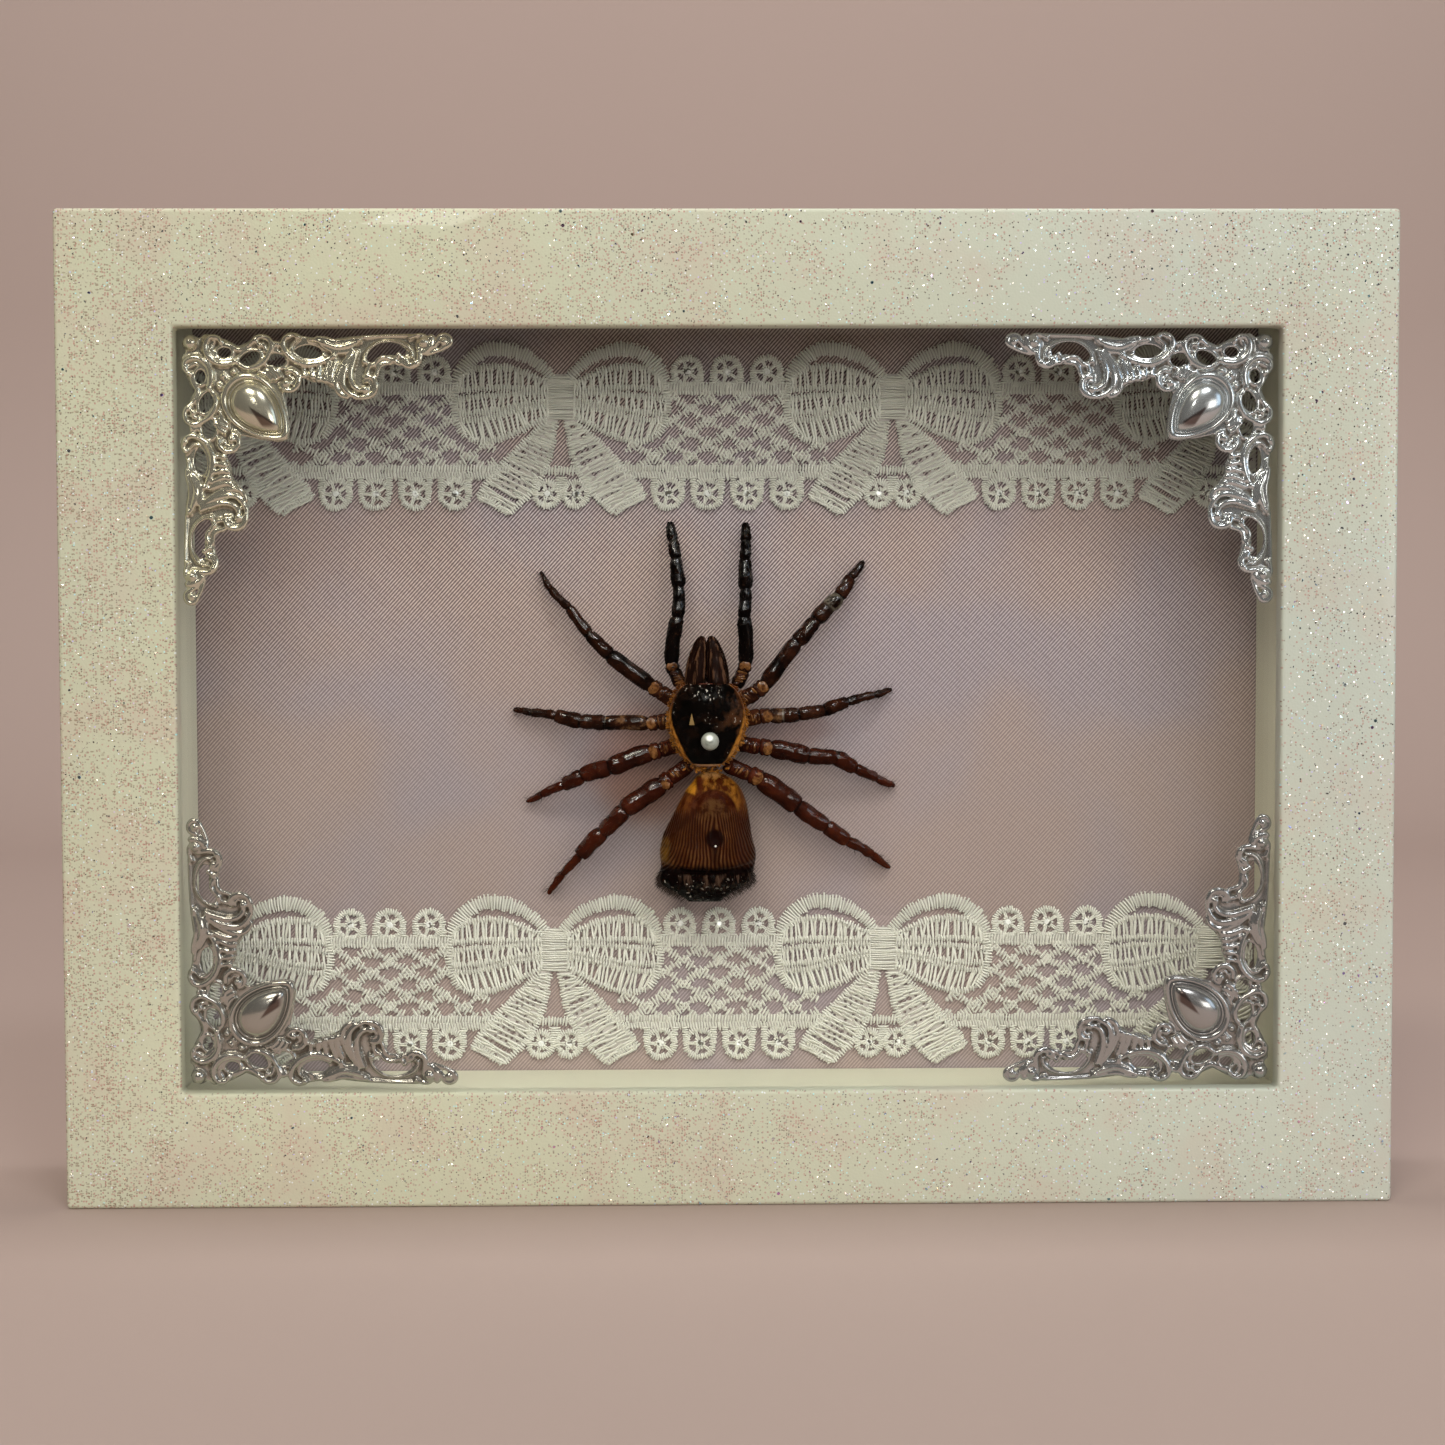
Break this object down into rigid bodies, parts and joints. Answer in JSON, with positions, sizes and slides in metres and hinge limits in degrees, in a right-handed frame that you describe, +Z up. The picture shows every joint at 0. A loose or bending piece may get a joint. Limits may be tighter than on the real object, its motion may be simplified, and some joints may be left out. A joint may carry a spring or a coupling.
{
  "type": "framed trapdoor spider",
  "caption": "Glazed shadow box with a pinned trapdoor spider on mauve satin between strips of white bow lace, with cast corner ornaments on the glass",
  "frame": {"origin": "middle of the underside of the box, where it stands", "axes": "+X right as seen from the front, -Y out of the glass towards the viewer, +Z up"},
  "size_m": [0.207, 0.03, 0.1545],
  "materials": {
    "glitter_paint": "wood under cream paint and fine glitter",
    "cream_paint": "plain cream",
    "pane": "clear, flat",
    "satin": "mauve satin with a fine diagonal twill",
    "card": "grey card, matt",
    "hardboard": "brown hardboard, matt",
    "steel": "bare",
    "lace": "white thread, stitched, with small clear stones",
    "bright_casting": "bright cast metal",
    "dark_shell": "dark horny shell, glossy",
    "amber_shell": "amber horny shell",
    "abdomen_skin": "brown grooved skin, half gloss",
    "dark_legs": "black-brown, glossy, finely haired",
    "red_legs": "red-brown, glossy, finely haired",
    "pearl": "white pearl"
  },
  "bodies": {
    "root": {"rail_top": "glitter_paint", "rail_bottom": "glitter_paint", "rail_left": "glitter_paint", "rail_right": "glitter_paint", "spacer_top": "cream_paint", "spacer_bottom": "cream_paint", "spacer_left": "cream_paint", "spacer_right": "cream_paint", "glass": "pane", "satin": "satin", "backing_board": "card", "back_panel": "hardboard", "tab_1": "steel", "tab_2": "steel", "tab_3": "steel", "tab_4": "steel", "tab_5": "steel", "tab_6": "steel", "lace_top": "lace", "lace_bottom": "lace", "corner_top_left": "bright_casting", "corner_top_right": "bright_casting", "corner_bottom_left": "bright_casting", "corner_bottom_right": "bright_casting", "carapace": "dark_shell", "jaw_left": "dark_shell", "jaw_right": "dark_shell", "sternum": "amber_shell", "abdomen": "abdomen_skin", "palp_left": "dark_legs", "palp_right": "dark_legs", "leg_left_1": "dark_legs", "leg_left_2": "dark_legs", "leg_left_3": "red_legs", "leg_left_4": "red_legs", "leg_right_1": "dark_legs", "leg_right_2": "dark_legs", "leg_right_3": "red_legs", "leg_right_4": "red_legs", "pin": "steel", "pin_head": "pearl"}
  },
  "joints": []
}
